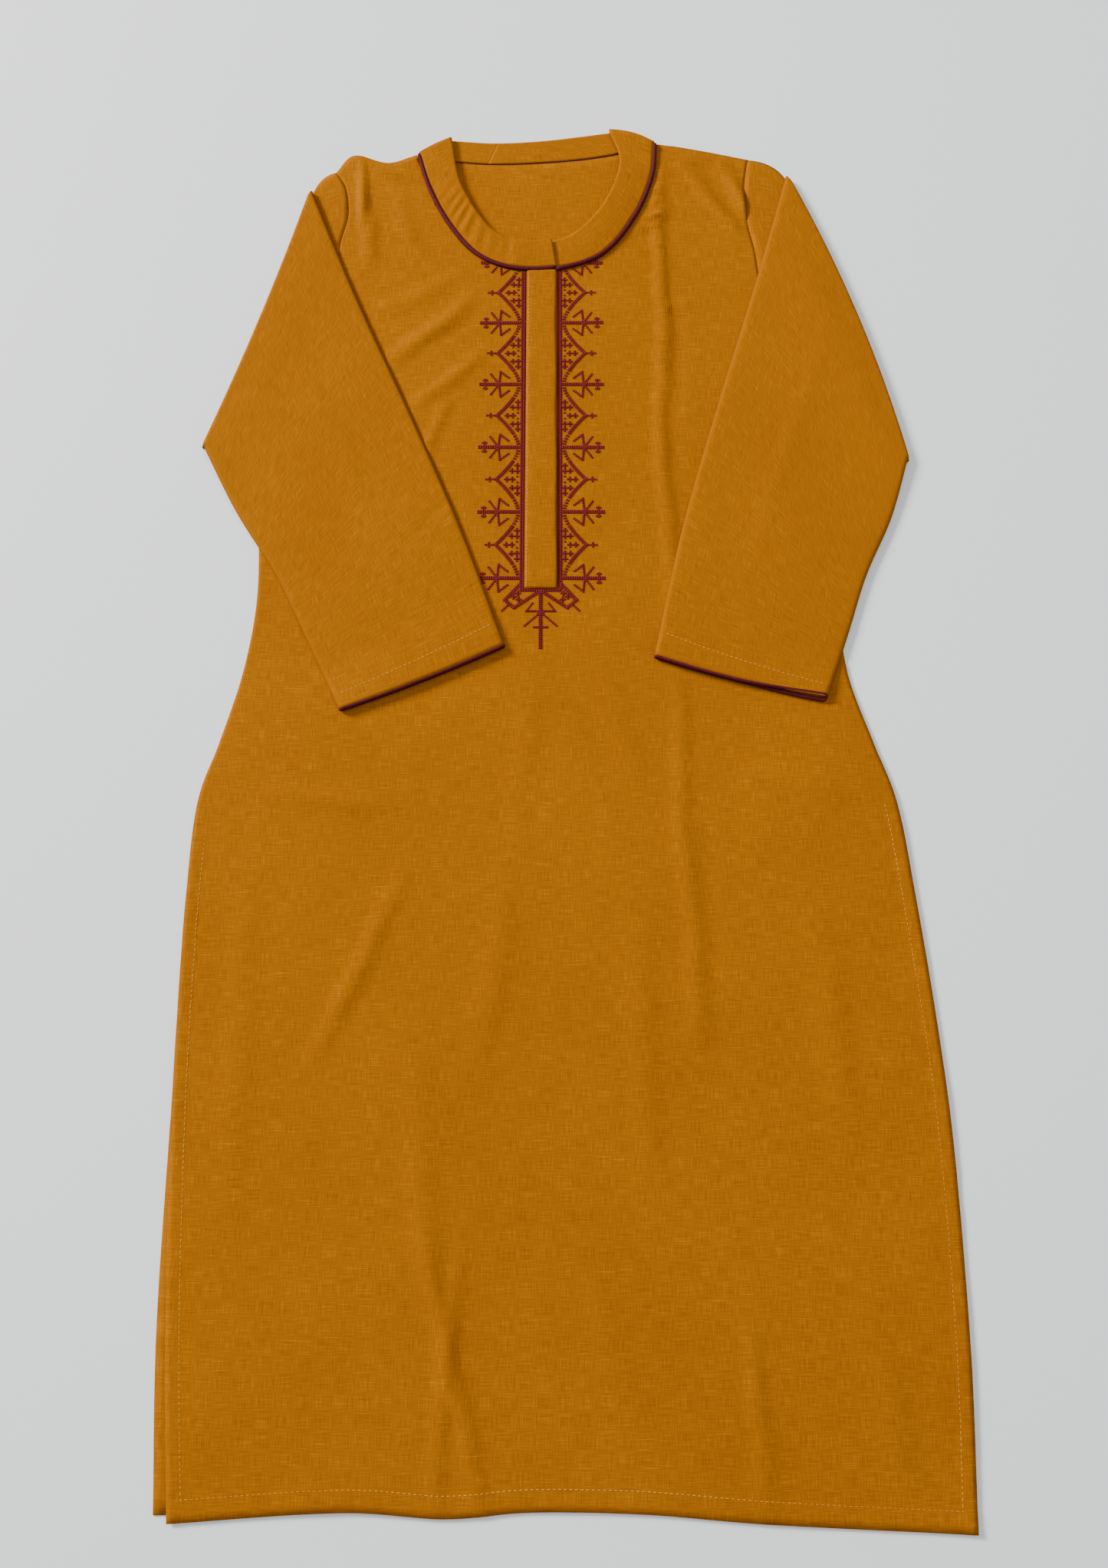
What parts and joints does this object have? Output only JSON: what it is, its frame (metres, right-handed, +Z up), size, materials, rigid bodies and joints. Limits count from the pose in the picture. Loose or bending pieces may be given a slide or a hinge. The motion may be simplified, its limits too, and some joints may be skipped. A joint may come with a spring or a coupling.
{
  "type": "kurta tunic",
  "caption": "Long straight kurta tunic with stand neck band, piping, placket and three-quarter sleeves, laid flat with the sleeves folded over the front.",
  "frame": {"origin": "on the surface the garment lies on, under the middle of its outline", "axes": "+Z up from the surface, +Y from the hem to the neck, +X to the right as seen from above"},
  "size_m": [0.592, 1.1336, 0.008],
  "materials": {
    "cloth": "mustard slub cotton, plain weave, soft sheen",
    "piping": "maroon corded piping and embroidery thread"
  },
  "bodies": {
    "root": {"back_panel": "cloth", "front_panel": "cloth", "sleeve_left": "cloth", "sleeve_right": "cloth", "neck_band_left": "cloth", "neck_band_right": "cloth", "placket": "cloth", "placket_underlap": "cloth", "neck_piping_left": "piping", "neck_piping_right": "piping", "neck_piping_back": "piping", "cuff_piping_left": "piping", "cuff_piping_right": "piping"}
  },
  "joints": []
}
